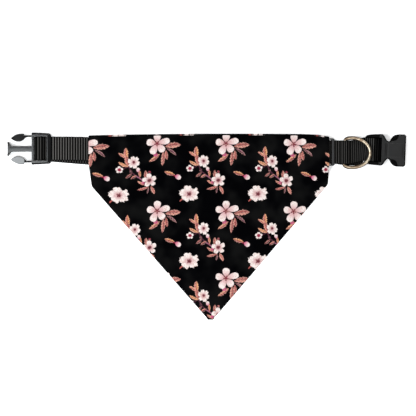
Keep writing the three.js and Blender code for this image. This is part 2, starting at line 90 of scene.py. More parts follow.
def applyModifiers(thing):
    graph = bpy.context.evaluated_depsgraph_get()
    result = bpy.data.meshes.new_from_object(thing.evaluated_get(graph), depsgraph=graph)
    old = thing.data
    thing.modifiers.clear()
    thing.data = result
    result.name = thing.name
    bpy.data.meshes.remove(old)
    return thing


def setUv(thing, name, perVertex):
    layer = thing.data.uv_layers.new(name=name)
    corners = np.empty(len(thing.data.loops), dtype=np.int32)
    thing.data.loops.foreach_get("vertex_index", corners)
    layer.data.foreach_set("uv", np.asarray(perVertex, dtype=np.float32)[corners].ravel())


def setNumbers(thing, name, perVertex):
    layer = thing.data.attributes.new(name=name, type="FLOAT", domain="POINT")
    layer.data.foreach_set("value", np.asarray(perVertex, dtype=np.float32))


def dress(thing, material, body, node):
    thing.data.materials.clear()
    thing.data.materials.append(material)
    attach(thing, body)
    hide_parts(node)


# small helpers for node trees; those that take a socket add their node to the socket's own tree

def treeOf(*values):
    return next(value.id_data for value in values if isinstance(value, bpy.types.NodeSocket))


def plug(socket, value):
    if isinstance(value, bpy.types.NodeSocket):
        socket.id_data.links.new(value, socket)
    else:
        socket.default_value = value


def plugAll(sockets, **values):
    for key, value in values.items():
        plug(sockets[key.replace("_", " ")], value)


def addNode(tree, kind, inputs=None, **settings):
    node = tree.nodes.new(kind)
    for key, value in settings.items():
        setattr(node, key, value)
    for key, value in (inputs or {}).items():
        plug(node.inputs[key], value)
    return node


def calc(operation, *values):
    return addNode(treeOf(*values), "ShaderNodeMath", dict(enumerate(values)), operation=operation).outputs[0]


def plus(first, second):
    return calc("ADD", first, second)


def minus(first, second):
    return calc("SUBTRACT", first, second)


def times(product, *factors):
    for factor in factors:
        product = calc("MULTIPLY", product, factor)
    return product


def limited(value):
    return calc("MINIMUM", calc("MAXIMUM", value, 0.0), 1.0)


def vectorCalc(operation, *values):
    node = addNode(treeOf(*values), "ShaderNodeVectorMath", dict(enumerate(values)), operation=operation)
    return node.outputs["Value" if operation in ("DOT_PRODUCT", "LENGTH") else "Vector"]


def scaled(vector, factor):
    values = {0: vector, "Scale": factor}
    return addNode(vector.id_data, "ShaderNodeVectorMath", values, operation="SCALE").outputs[0]


def split(vector):
    return addNode(vector.id_data, "ShaderNodeSeparateXYZ", {0: vector}).outputs


def noiseAt(position, scale, detail, roughness=0.5):
    values = {"Vector": position, "Scale": scale, "Detail": detail, "Roughness": roughness}
    return addNode(position.id_data, "ShaderNodeTexNoise", values).outputs


def noiseShift(position, *values):  # a vector of noise about nought
    return vectorCalc("SUBTRACT", noiseAt(position, *values)["Color"], (0.5, 0.5, 0.5))


def attribute(tree, name):
    return addNode(tree, "ShaderNodeAttribute", attribute_name=name).outputs["Fac"]


def blend(share, first, second):  # of two colours
    values = {0: share, 6: first, 7: second}
    return addNode(share.id_data, "ShaderNodeMix", values, data_type="RGBA").outputs[2]


def rescale(value, low, high, newLow=0.0, newHigh=1.0):
    values = {0: value, 1: low, 2: high, 3: newLow, 4: newHigh}
    return addNode(value.id_data, "ShaderNodeMapRange", values, interpolation_type="SMOOTHSTEP",
                   clamp=False).outputs[0]


def nodeGroup(name, inputs, outputs, kind="ShaderNodeTree"):
    tree = bpy.data.node_groups.new(name, kind)
    for label, socketType, default in inputs:
        socket = tree.interface.new_socket(name=label, in_out="INPUT", socket_type="NodeSocket" + socketType)
        if default is not None:
            socket.default_value = default
    for label, socketType in outputs:
        tree.interface.new_socket(name=label, in_out="OUTPUT", socket_type="NodeSocket" + socketType)
    source = tree.nodes.new("NodeGroupInput")
    result = tree.nodes.new("NodeGroupOutput")
    return tree, source.outputs, result.inputs


def useGroup(tree, group, inputs):
    return addNode(tree, "ShaderNodeGroup", inputs, node_tree=group).outputs


def newMaterial(name, **constants):
    material = bpy.data.materials.new(name)
    material.use_nodes = True
    tree = material.node_tree
    finish = tree.nodes["Principled BSDF"].inputs
    plugAll(finish, **constants)
    return material, tree, finish


def bumpFrom(height, strength, distance):
    values = {"Height": height, "Strength": strength, "Distance": distance * mm}
    return addNode(height.id_data, "ShaderNodeBump", values).outputs[0]


def linear(code):
    channels = [int(code[i:i + 2], 16) / 255 for i in (0, 2, 4)]
    return tuple(c / 12.92 if c < 0.04045 else ((c + 0.055) / 1.055) ** 2.4 for c in channels) + (1.0,)


# camera, light and floor

view = {"centre": (1.5, 18.9), "height": 3000.0, "across": 433.3, "sensor": 36.0, "clipEnd": 20.0}

camera = placed("camera", bpy.data.cameras.new("camera"))
camera.location = (view["centre"][0] * mm, view["centre"][1] * mm, view["height"] * mm)
camera.data.sensor_width = view["sensor"]
camera.data.lens = view["sensor"] * view["height"] / view["across"]
camera.data.clip_end = view["clipEnd"]
bpy.context.scene.camera = camera

lamps = {  # place, what it faces (mm), width and depth (mm), power (W) and colour
    "keyLamp": ((-305, -236, 900), (-305, -236, 0), (370, 592), 6.6, (0.92, 0.97, 1.0)),
    "topLamp": ((190, 60, 1500), (190, 60, 0), (640, 1400), 2.4, (1.0, 1.0, 1.0)),
    "leftLamp": ((-1150, 100, 1150), (0, 40, 0), (600, 1100), 13.0, (1.0, 1.0, 1.0)),
    "frontLamp": ((380, -1250, 1100), (60, 40, 0), (1300, 700), 19.0, (1.0, 1.0, 1.0)),
    "backLamp": ((380, 1400, 1150), (60, 40, 0), (1300, 700), 19.0, (1.0, 1.0, 1.0)),
}


def addLamp(name, place, target, size, power, colour):
    lamp = placed(name, bpy.data.lights.new(name, "AREA"))
    lamp.data.shape = "RECTANGLE"
    lamp.data.size, lamp.data.size_y = size[0] * mm, size[1] * mm
    lamp.data.energy = power
    lamp.data.color = colour
    lamp.location = Vector(place) * mm
    away = (Vector(place) - Vector(target)) * mm
    lamp.rotation_euler = away.to_track_quat("Z", "Y").to_euler()


for lampName, lampValues in lamps.items():
    addLamp(lampName, *lampValues)

studio = {"ambient": 0.12, "floorHalf": 4000, "floorDrop": 0.2, "paper": 0.98, "paperRoughness": 0.9,
          "paperGlow": 0.14}  # the paper is lit a little from below, so that shadows stay faint

bpy.context.scene.view_settings.view_transform = "Standard"
world = bpy.data.worlds.new("studio")
world.use_nodes = True
world.node_tree.nodes["Background"].inputs["Color"].default_value = (1.0, 1.0, 1.0, 1.0)
world.node_tree.nodes["Background"].inputs["Strength"].default_value = studio["ambient"]
bpy.context.scene.world = world

floorReach = studio["floorHalf"] * mm
floorCorners = [(x * floorReach, y * floorReach, -studio["floorDrop"] * mm)
                for x, y in ((-1, -1), (1, -1), (1, 1), (-1, 1))]
floor = meshObject("floor", floorCorners, [(0, 1, 2, 3)])
floor.data.materials.append(newMaterial(
    "palePaper", Base_Color=(*(studio["paper"],) * 3, 1), Roughness=studio["paperRoughness"],
    Specular_IOR_Level=0.0, Emission_Color=(1.0, 1.0, 1.0, 1.0), Emission_Strength=studio["paperGlow"])[0])
floor.visible_glossy = False
print("camera, light and floor ready")


# the cloth's print: cherry blossom sprays on a straight repeat, drawn by shader node groups

printTile = {"width": 71.6, "height": 70.0, "x": 19.9, "y": 86.2,  # one repeat and where it starts (mm)
             "edge": 0.28, "wobble": 0.35, "fray": 0.22, "leafShare": 0.78}

palette = {name: linear(code) for name, code in {
    "ground": "010102", "rim": "d3cac6", "throat": "b98d90", "heart": "5c2b32", "crimson": "7a2236",
    "magenta": "b04a72", "bud": "bd8090", "coral": "c27063", "rose": "984e49", "salmon": "c68576",
    "peach": "d89a78", "orange": "d6935f", "mauve": "7c4f60", "plum": "42242f", "outline": "966672",
    "highlight": "d6a999", "speck": "b08a7c", "foldSheen": "0d0d0d",
}.items()}

# base x, base y, tip x, tip y, width (mm from the big blossom's heart), colour at the base and at the rim
petalChart = [
    (0.2, 0.6, 0.7, 10.2, 7.5, "throat", "rim"),
    (-0.6, 0, -10.3, 1.8, 7.1, "throat", "rim"),
    (0.9, 0.3, 13.4, 3.1, 6.6, "throat", "rim"),
    (-0.4, -0.8, -5.2, -11.1, 7.3, "throat", "rim"),
    (0.6, -0.9, 7.3, -8.5, 7.4, "throat", "rim"),
]
# the same, with a light and a shaded colour and how far the leaf bends
leafChart = [
    (8.8, -3.3, 24.8, -1.4, 8.2, "salmon", "rose", 0.3),
    (10.0, -5.2, 20.4, -12.8, 3.9, "plum", "mauve", 0.8),
    (9.6, -7.4, 10.6, -17.0, 5.0, "coral", "rose", -0.3),
    (6.8, -8.6, 5.6, -23.2, 5.6, "salmon", "rose", 0.2),
    (3.0, -11.2, -8.1, -19, 5.2, "peach", "rose", 0.5),
    (41.6, -15.2, 41.0, -3.2, 6.6, "orange", "coral", 0.3),
    (40.6, -14.2, 33.6, -8.9, 4.2, "peach", "coral", -0.5),
    (40.8, -11.4, 44.4, -22.6, 7.2, "coral", "rose", -0.3),
    (43.4, -22.8, 33.6, -18.2, 4.4, "orange", "peach", 0.6),
    (46.7, -30.0, 40.6, -34.6, 3.8, "rose", "plum", 0.3),
    (51.5, -32.1, 45.6, -35.6, 3.8, "coral", "plum", 0),
    (55.0, -34.4, 54.4, -27.6, 3.6, "orange", "coral", 0.2),
    (60.0, -36.0, 60.2, -27.9, 5.0, "salmon", "rose", -0.2),
    (58.4, -42.8, 52.0, -38.2, 3.2, "peach", "coral", 0),
    (63.4, -44.8, 51.8, -47.6, 3.6, "coral", "rose", 0.4),
    (63.2, -45.4, 61.6, -51.8, 2.3, "plum", "mauve", 0),
    (65.2, -44.4, 69.0, -52.6, 5.0, "salmon", "coral", 0.2),
    (18.6, -32.6, 7.8, -29.4, 5.6, "orange", "rose", 0.2),
]
budChart = [
    (-1.6, -9.4, -1.2, -13.6, 4.4, "heart", "magenta"),
    (46.3, -29.8, 45.2, -26.6, 2.7, "plum", "plum"),
    (53.1, -28.8, 52.6, -24.4, 3.4, "bud", "rim"),
    (63.8, -31.2, 64.2, -28.4, 2.5, "heart", "crimson"),
    (60.2, -41.3, 56.2, -39.8, 3.2, "heart", "magenta"),
    (19.3, -33.5, 24.8, -36.5, 5.0, "magenta", "rim"),
]
stemChart = [  # from x, y to x, y, thickness, colour
    (2.3, -6.3, 8.5, -5.4, 1.7, "plum"),
    (4.4, -9.4, 9.4, -7.1, 1.7, "plum"),
    (42.9, -22.0, 46.0, -29.4, 1.3, "plum"),
    (45.8, -28.8, 51.2, -33.5, 1.2, "plum"),
    (50.8, -33.1, 57.9, -38.4, 1.3, "mauve"),
    (53.4, -29.2, 54.2, -35.4, 0.8, "rose"),
    (65, -31.4, 64.1, -36, 0.8, "plum"),
    (38.1, -25.8, 43.7, -22.9, 0.9, "plum"),
    (23.7, -60.4, 29.4, -56.3, 1.3, "rose"),
    (16.5, -32.9, 20.8, -35.2, 1.5, "crimson"),
]
blossomChart = [  # centre x, y, radius, flattening, petals, turn, gap, notch, ruffle, eye, heart, throat
    (48.6, -18.5, 6.0, 1.1, 6, 0.3, 0.36, 0.08, 0.6, 1.0, "heart", "throat"),
    (34.4, -26.0, 3.8, 0.92, 5, 0.9, 0.36, 0, 0.3, 2.2, "crimson", "bud"),
    (64.0, -38.2, 7.3, 0.96, 5, -0.43, 0.58, 0.03, 0.8, 1.05, "heart", "throat"),
    (33.5, -52.4, 10.4, 0.83, 5, -0.45, 0.34, 0.08, 2.5, 1.0, "heart", "throat"),
]
heartStar = {"Centre": (0.2, -0.3, 0), "Radius": 3.0, "Petals": 5, "Turn": 0.3, "Gap": 0.85, "Notch": 0.0,
             "Heart": palette["heart"], "Throat": palette["crimson"], "Rim": palette["heart"]}

bladeLook = {"teeth": 5.0, "toothStep": 0.2}
flowerLook = {"speckShare": 0.66, "washShare": 0.25}
petalLook = {"fullness": 0.46, "budBelly": 1.15, "petalBelly": 1.7, "fadeEnd": 0.85, "streaks": 11.0,
             "streakEnd": 0.85, "marginShare": 0.35}
leafLook = {"fullness": 0.85, "belly": 1.05, "teeth": 0.15, "veins": 30.0, "veinSlant": 5.0,
            "veinShare": 0.45, "spineShare": 0.7, "rimShare": 0.6, "speckShare": 0.3}
stemLook = {"fullness": 0.12, "belly": 1.0, "bend": 0.4}
blossomLook = {"ruffle": (0.28, 2.0, 0.6), "ruffleReach": (3.0, 3.0, 0.0), "gapPower": 1.6,
               "notchFrom": 0.93, "fadeEnd": 0.72, "rays": 6.0, "rayEnd": 0.75, "seamShare": 0.55}
clothNoise = {  # scale and detail
    "sway": (0.55, 1.0), "fray": (1.5, 2.0), "brush": (1.1, 2.0), "sheenPatches": (0.035, 2.0),
}

halfTile = (printTile["width"] / 2, printTile["height"] / 2, 1.0)
inkInputs = [("Under", "Color", None), ("Position", "Vector", None)]
flowerInputs = inkInputs + [("Wash", "Float", 0.5), ("Specks", "Float", 0.0)]
bladeInputs = [("Base", "Vector", None), ("Tip", "Vector", None)]
inkOutput = [("Colour", "Color")]


def nearestCopy(position, centre):
    offset = vectorCalc("SUBTRACT", position, centre)
    return vectorCalc("WRAP", offset, halfTile, tuple(-h for h in halfTile))


def inked(depth):  # 1 inside an outline and 0 outside, soft across the ink's edge
    return limited(plus(calc("DIVIDE", depth, printTile["edge"]), 0.5))


def inkDown(given, result, cover, colour):
    plug(result["Colour"], blend(cover, given["Under"], colour))


def washed(given, colour):
    share = times(given["Wash"], flowerLook["washShare"])
    return blend(share, colour, given["Throat"])


def specked(given, colour):
    share = times(given["Specks"], flowerLook["speckShare"])
    return blend(share, colour, palette["speck"])


def bladeGroup():
    tree, given, result = nodeGroup("printBlade", [("Position", "Vector", None)] + bladeInputs + [
        ("Width", "Float", 5.0), ("Fullness", "Float", 0.5), ("Belly", "Float", 1.0), ("Bend", "Float", 0.0),
        ("Teeth", "Float", 0.0),
    ], [("Cover", "Float"), ("Along", "Float"), ("Across", "Float")])
    middle = scaled(vectorCalc("ADD", given["Base"], given["Tip"]), 0.5)
    spine = vectorCalc("SUBTRACT", given["Tip"], given["Base"])
    heading = vectorCalc("NORMALIZE", spine)
    side = vectorCalc("CROSS_PRODUCT", (0.0, 0.0, 1.0), heading)
    offset = nearestCopy(given["Position"], middle)
    run = vectorCalc("DOT_PRODUCT", offset, heading)
    run = calc("DIVIDE", run, vectorCalc("LENGTH", spine))
    along = limited(plus(run, 0.5))
    belly = calc("POWER", along, given["Belly"])
    hump = times(belly, minus(1.0, belly), 4.0)
    shift = times(given["Bend"], hump)
    across = minus(vectorCalc("DOT_PRODUCT", offset, side), shift)
    half = times(calc("POWER", hump, given["Fullness"]), given["Width"])
    tooth = times(calc("SIGN", across), bladeLook["toothStep"])
    tooth = plus(times(along, bladeLook["teeth"]), tooth)
    bite = times(calc("FRACT", tooth), given["Teeth"])
    half = times(half, minus(0.5, bite))
    cover = inked(minus(half, calc("ABSOLUTE", across)))
    cover = times(cover, calc("GREATER_THAN", hump, 0.01))
    across = calc("DIVIDE", across, calc("MAXIMUM", half, 0.1))
    plugAll(result, Cover=cover, Along=along, Across=across)
    return tree


blade = bladeGroup()


def useBlade(tree, given, **shape):
    places = {key: given[key] for key in ("Position", "Base", "Tip", "Width")}
    return useGroup(tree, blade, {**places, **shape})


def petalGroup():
    look = petalLook
    tree, given, result = nodeGroup("printPetal", flowerInputs + bladeInputs + [
        ("Width", "Float", 8.0), ("Belly", "Float", look["petalBelly"]),
        ("Throat", "Color", palette["throat"]), ("Rim", "Color", palette["rim"]),
    ], inkOutput)
    shape = useBlade(tree, given, Fullness=look["fullness"], Belly=given["Belly"])
    along, across = shape["Along"], shape["Across"]
    colour = blend(rescale(along, 0.0, look["fadeEnd"]), given["Throat"], given["Rim"])
    streak = calc("COSINE", times(across, look["streaks"]))
    near = calc("MAXIMUM", minus(look["streakEnd"], along), 0.0)
    streak = times(rescale(streak, 0.2, 1.0), near)
    colour = specked(given, blend(streak, colour, given["Throat"]))
    margin = calc("MAXIMUM", calc("ABSOLUTE", across), rescale(along, 0.8, 1.02))
    margin = times(rescale(margin, 0.8, 1.0), look["marginShare"])
    colour = blend(margin, colour, palette["outline"])
    inkDown(given, result, shape["Cover"], washed(given, colour))
    return tree


def leafGroup():
    look = leafLook
    tree, given, result = nodeGroup("printLeaf", flowerInputs + bladeInputs + [
        ("Width", "Float", 5.0), ("Bend", "Float", 0.0),
        ("Light", "Color", palette["coral"]), ("Shade", "Color", palette["rose"]),
    ], inkOutput)
    shape = useBlade(tree, given, Fullness=look["fullness"], Belly=look["belly"], Bend=given["Bend"],
                     Teeth=look["teeth"])
    across = shape["Across"]
    beside = calc("ABSOLUTE", across)
    colour = blend(rescale(across, -0.25, 0.35), given["Light"], given["Shade"])
    veins = minus(times(shape["Along"], look["veins"]), times(beside, look["veinSlant"]))
    veins = times(rescale(calc("SINE", veins), 0.1, 1.0), look["veinShare"])
    spine = minus(1.0, rescale(beside, 0.04, 0.26))
    dark = calc("MAXIMUM", veins, times(spine, look["spineShare"]))
    colour = blend(dark, colour, palette["plum"])
    rim = times(rescale(beside, 0.6, 0.9), look["rimShare"])
    colour = blend(rim, colour, palette["highlight"])
    colour = blend(given["Wash"], colour, palette["plum"])
    specks = times(given["Specks"], look["speckShare"])
    colour = blend(specks, colour, palette["highlight"])
    inkDown(given, result, shape["Cover"], colour)
    return tree


def stemGroup():
    look = stemLook
    tree, given, result = nodeGroup("printStem", inkInputs + bladeInputs + [
        ("Width", "Float", 1.0), ("Colour", "Color", palette["plum"]),
    ], inkOutput)
    shape = useBlade(tree, given, Fullness=look["fullness"], Belly=look["belly"], Bend=look["bend"])
    inkDown(given, result, shape["Cover"], given["Colour"])
    return tree


def blossomGroup():
    look = blossomLook
    tree, given, result = nodeGroup("printBlossom", flowerInputs + [
        ("Centre", "Vector", None), ("Stretch", "Vector", (1.0, 1.0, 1.0)), ("Radius", "Float", 6.0),
        ("Petals", "Float", 5.0), ("Turn", "Float", 0.0), ("Gap", "Float", 0.3), ("Notch", "Float", 0.1),
        ("Ruffle", "Float", 0.0), ("Eye", "Float", 1.0), ("Heart", "Color", palette["heart"]),
        ("Throat", "Color", palette["throat"]), ("Rim", "Color", palette["rim"]),
    ], inkOutput)
    offset = nearestCopy(given["Position"], given["Centre"])
    offset = vectorCalc("MULTIPLY", offset, given["Stretch"])
    ruffle = noiseShift(vectorCalc("ADD", offset, given["Centre"]), *look["ruffle"])
    ruffle = vectorCalc("MULTIPLY", scaled(ruffle, given["Ruffle"]), look["ruffleReach"])
    offset = vectorCalc("ADD", offset, ruffle)
    parts = split(offset)
    angle = plus(calc("ARCTAN2", parts["Y"], parts["X"]), given["Turn"])
    radius = calc("DIVIDE", vectorCalc("LENGTH", offset), given["Radius"])
    petal = times(angle, times(given["Petals"], 0.5))
    lobe = calc("ABSOLUTE", calc("COSINE", petal))  # 1 in a petal's middle, 0 between two
    between = calc("POWER", minus(1.0, lobe), look["gapPower"])
    reach = minus(1.0, times(given["Gap"], between))
    notch = times(rescale(lobe, look["notchFrom"], 1.0), given["Notch"])
    reach = minus(reach, notch)
    cover = inked(times(minus(reach, radius), given["Radius"]))
    colour = blend(rescale(radius, 0.12, look["fadeEnd"]), given["Throat"], given["Rim"])
    rays = rescale(calc("COSINE", times(petal, look["rays"])), 0.1, 1.0)
    near = calc("MAXIMUM", minus(look["rayEnd"], radius), 0.0)
    colour = blend(times(rays, near), colour, given["Heart"])
    seam = times(rescale(lobe, 0.22, 0.0), rescale(radius, 0.2, 0.5))
    colour = blend(times(seam, look["seamShare"]), colour, palette["outline"])
    colour = specked(given, washed(given, colour))
    eye = calc("DIVIDE", radius, given["Eye"])
    colour = blend(rescale(eye, 0.30, 0.15), colour, given["Heart"])
    inkDown(given, result, cover, colour)
    return tree


def sprayPrintGroup():
    tree, given, result = nodeGroup("blossomPrint", [
        ("Cloth Position", "Vector", None), ("Ground", "Color", palette["ground"]),
    ], inkOutput)
    petalTree, leafTree, stemTree, blossomTree = petalGroup(), leafGroup(), stemGroup(), blossomGroup()
    cloth = place = given["Cloth Position"]
    for name, reach in (("sway", 2 * printTile["wobble"]), ("fray", 4 * printTile["fray"])):
        shift = noiseShift(cloth, *clothNoise[name])
        place = vectorCalc("ADD", place, vectorCalc("MULTIPLY", shift, (reach, reach, 0.0)))
    brush = noiseAt(cloth, *clothNoise["brush"])
    green = addNode(tree, "ShaderNodeSeparateColor", {0: brush["Color"]}).outputs[1]
    common = {"Position": place, "Wash": rescale(brush["Fac"], 0.46, 0.68),
              "Specks": limited(times(minus(green, 0.53), 11.0))}
    # painted sheen: random soft lighter patches in the black ground stand in for light on the cloth's gentle
    # folds
    foldSheen = rescale(noiseAt(cloth, *clothNoise["sheenPatches"])[0], 0.4, 0.72)
    colour = blend(foldSheen, given["Ground"], palette["foldSheen"])

    def lay(group, values):
        nonlocal colour
        colour = useGroup(tree, group, {"Under": colour, **values})["Colour"]

    def layBlade(group, row, values, widthShare=1.0):
        x, y, tipX, tipY, width = row[:5]
        lay(group, {**values, "Base": (x, y, 0), "Tip": (tipX, tipY, 0), "Width": width * widthShare})

    for row in stemChart:
        layBlade(stemTree, row, {"Position": place, "Colour": palette[row[5]]})
    for row in leafChart:
        light, shade, bend = row[5:]
        layBlade(leafTree, row, {**common, "Light": palette[light], "Shade": palette[shade], "Bend": bend},
                 printTile["leafShare"])
    for chart, belly in ((budChart, petalLook["budBelly"]), (petalChart, petalLook["petalBelly"])):
        for row in chart:
            throat, rim = row[5:]
            layBlade(petalTree, row, {**common, "Belly": belly, "Throat": palette[throat],
                                      "Rim": palette[rim]})
    for x, y, radius, flat, petals, turn, gap, notch, ruffle, eye, heart, throat in blossomChart:
        lay(blossomTree, {**common, "Centre": (x, y, 0), "Stretch": (1.0, 1 / flat, 1.0), "Radius": radius,
                          "Petals": petals, "Turn": turn, "Gap": gap, "Notch": notch, "Eye": eye,
                          "Ruffle": ruffle, "Heart": palette[heart], "Throat": palette[throat]})
    lay(blossomTree, {**common, **heartStar})
    plug(result["Colour"], colour)
    return tree


# weave: crossed threads, shared by the cloth and by the threads of the webbing

weaveLook = {"fuzzScale": 2.2, "fuzzDetail": 3.0, "fuzzShare": 0.5}


def weaveGroup():
    tree, given, result = nodeGroup("threadWeave", [
        ("Position", "Vector", None), ("Warp Pitch", "Float", 0.4), ("Weft Pitch", "Float", 0.4),
    ], [("Height", "Float"), ("Thread", "Float")])
    parts = split(given["Position"])
    warp = times(calc("DIVIDE", parts["X"], given["Warp Pitch"]), math.pi)
    weft = times(calc("DIVIDE", parts["Y"], given["Weft Pitch"]), math.pi)
    over = times(calc("SINE", warp), calc("SINE", weft))
    fuzz = noiseAt(given["Position"], weaveLook["fuzzScale"], weaveLook["fuzzDetail"])[0]
    height = plus(calc("ABSOLUTE", over), times(fuzz, weaveLook["fuzzShare"]))
    plugAll(result, Height=height, Thread=fuzz)
    return tree


weave = weaveGroup()
clothLook = {"roughness": 0.9, "specular": 0.015, "weavePitch": 0.42, "weaveShade": 0.12, "bump": 0.25,
             "bumpDepth": 0.2, "wrongSide": 0.2, "back": "060607"}


def clothMaterial():
    look = clothLook
    material, tree, finish = newMaterial("printedCotton", Roughness=look["roughness"],
                                         Specular_IOR_Level=look["specular"])
    place = addNode(tree, "ShaderNodeUVMap", uv_map="clothPlan").outputs[0]
    across = vectorCalc("MULTIPLY", place, (printTile["width"], printTile["height"], 0.0))
    colour = useGroup(tree, sprayPrintGroup(), {"Cloth Position": across})["Colour"]
    through = times(attribute(tree, "wrongSide"), 1 - look["wrongSide"])
    colour = blend(minus(1.0, through), linear(look["back"]), colour)
    threads = useGroup(tree, weave, {"Position": across, "Warp Pitch": look["weavePitch"],
                                     "Weft Pitch": look["weavePitch"]})
    shade = rescale(threads["Height"], 0.0, 1.0, 0.0, look["weaveShade"])
    colour = blend(shade, colour, (0.0, 0.0, 0.0, 1.0))
    bump = bumpFrom(threads["Height"], look["bump"], look["bumpDepth"])
    plugAll(finish, Base_Color=colour, Normal=bump)
    return material


# bandana: one cloth, folded back along the top and sewn into a sleeve

bandana = {"seamY": 43.0, "backEdge": 41.2, "tipY": -97.4, "thick": 0.5, "cadThick": 1.0, "fold": 1.9,
           "columns": 176, "backRows": 26, "foldRows": 12, "sleeveRows": 44, "flapRows": 84,
           "hover": 0.02, "wave": 1.1, "seamGroove": 0.22, "grooveWidth": 0.7, "kinkRounds": 3,
           "sharpFrom": 70}
leftEdge = [(-97.4, 1.3), (-95.4, 0.1), (40.9, -119.2), (44.0, -120.0), (54.0, -121.2), (62.0, -122.3),
            (66.0, -122.7), (98.0, -122.7)]
rightEdge = [(-97.4, 6.9), (-95.4, 8.3), (40.9, 124.4), (44.0, 126.3), (54.0, 126.9), (62.0, 127.1),
             (66.0, 127.4), (98.0, 127.4)]
foldLine = [(-122.7, 94.4), (-90, 95.2), (-40, 95.9), (0, 96.2), (60, 96.2), (98, 95.9), (114, 95.2),
            (121, 94.3), (127.4, 93.1)]
overCollar = [(-122.4, 5.0), (-100, 4.6), (60, 4.6), (92, 5.0), (104, 6.8), (110.5, 8.7), (116, 9.4),
              (120, 9.8), (124, 9.4), (127.2, 8.8)]
foldHeight = [(-122.4, 5.0), (-100, 4.6), (-60, 4.5), (-10, 3.8), (60, 2.8), (92, 3.0), (104, 4.6),
              (110.5, 7.6), (116, 8.3), (120, 8.5), (124, 7.8), (127.2, 7.2)]
collarLine = [(-118, 80.0), (115, 77.1)]  # the collar's middle in the sleeve
sleeve = {"webHalf": 12.4, "ease": 1.6, "foldEase": 1.2, "foldShare": 0.9, "seamHeight": 0.1}
printPull = {  # the cloth is drawn out at its left end, and to the left and down over the slider
    "left": (-58, 0.058), "leftFade": (5, 35), "right": (60, 0.034, 0.02), "rise": (-50, 35, 1.6),
}


def sleeveHeight(x, y):
    s = sleeve
    plateau = s["webHalf"] + s["ease"]
    over = lookUp(overCollar, x)
    middle = lookUp(collarLine, x)
    d = y - middle
    room = lookUp(foldLine, x) - 1.0 - middle - plateau + s["foldEase"]
    rise = smoothStep((d - plateau + s["foldEase"]) / np.maximum(room, 1))
    atFold = over + (lookUp(foldHeight, x) - over) * rise * s["foldShare"]
    below = middle - plateau - bandana["seamY"]
    down = over + (s["seamHeight"] - over) * smoothStep((-d - plateau) / below)
    return np.where(d > plateau - s["foldEase"], atFold, np.where(d < -plateau, down, over))


def flapWave(x, y):
    fade = smoothStep((bandana["seamY"] - 6 - y) / 40) * smoothStep((y - bandana["tipY"]) / 25)
    along = 0.5 + 0.5 * np.sin(0.062 * x + 0.03 * y + 0.6)
    down = 0.6 + 0.4 * np.sin(0.05 * y - 0.9)
    return fade * bandana["wave"] * along * down


def clothPlan(x, length):  # where a point of the cloth lies on the print, in repeats
    leftFrom, leftPull = printPull["left"]
    fadeFrom, fadeOver = printPull["leftFade"]
    rightFrom, rightPull, rightDrop = printPull["right"]
    riseFrom, riseOver, rise = printPull["rise"]
    beyond = np.maximum(x - rightFrom, 0)
    skewed = x + leftPull * np.maximum(leftFrom - x, 0) * smoothStep((length - fadeFrom) / fadeOver)
    skewed += rightPull * beyond
    length = length + rightDrop * beyond + rise * smoothStep((riseFrom - x) / riseOver)
    return np.stack([(skewed - printTile["x"]) / printTile["width"],
                     (length - printTile["y"]) / printTile["height"]], axis=-1)


def clothMiddle():  # the cloth's middle surface: back, fold, front of the sleeve and flap, column by column
    b = bandana
    thick, seamY = b["thick"], b["seamY"]
    share = np.linspace(0, 1, b["columns"])
    sleeveX = leftEdge[-1][1] + share * (rightEdge[-1][1] - leftEdge[-1][1])
    fold = lookUp(foldLine, sleeveX)[:, None]
    foldStart = fold - b["fold"]

    def plan(ys):
        left, right = lookUp(leftEdge, ys), lookUp(rightEdge, ys)
        return left + share[:, None] * (right - left)

    backY = b["backEdge"] + np.linspace(0, 1, b["backRows"])[None, :] * (foldStart - b["backEdge"])
    sleeveY = foldStart + np.linspace(0, 1, b["sleeveRows"])[None, :] * (seamY - fold + b["fold"])
    flapShare = np.arange(1, b["flapRows"] + 1) / b["flapRows"]
    flapY = np.tile(seamY + flapShare * (b["tipY"] - seamY), (b["columns"], 1))
    backX, frontX, flapX = plan(backY), plan(sleeveY), plan(flapY)
    lowest = thick / 2 + b["hover"]
    seamZ = thick * 1.5 + 0.08
    backZ = np.full_like(backY, lowest)
    frontZ = np.maximum(sleeveHeight(frontX, sleeveY) + b["cadThick"] - thick / 2, seamZ)
    fromSeam = 1 - smoothStep((seamY - flapY) / 9)
    flapZ = flapWave(flapX, flapY) + lowest + (seamZ - thick / 2) * fromSeam
    turn = np.linspace(-math.pi / 2, math.pi / 2, b["foldRows"] + 2)[1:-1]
    low, high = backZ[:, -1:], frontZ[:, :1]
    foldY = foldStart + (b["fold"] - thick / 2) * np.cos(turn)[None, :]
    foldZ = (low + high) / 2 + (high - low) / 2 * np.sin(turn)[None, :]
    foldX = np.tile(sleeveX[:, None], (1, b["foldRows"]))
    x = np.hstack([backX, foldX, frontX, flapX])
    y = np.hstack([backY, foldY, sleeveY, flapY])
    z = np.hstack([backZ, foldZ, frontZ, flapZ])
    front = b["backRows"] + b["foldRows"]
    for _ in range(b["kinkRounds"]):  # eases the tables' kinks where the front sheet is free
        free = z[:, front + 1:-1]
        z[1:-1, front + 1:-1] = (free[:-2] + 2 * free[1:-1] + free[2:]) / 4
    groove = np.exp(-((y[:, front:] - seamY + 0.8) / b["grooveWidth"]) ** 2)
    z[:, front:] -= b["seamGroove"] * groove
    length = np.where(np.arange(x.shape[1])[None, :] < front, 2 * fold - y, y)
    return np.stack([x, y, z], axis=-1), clothPlan(x, length)


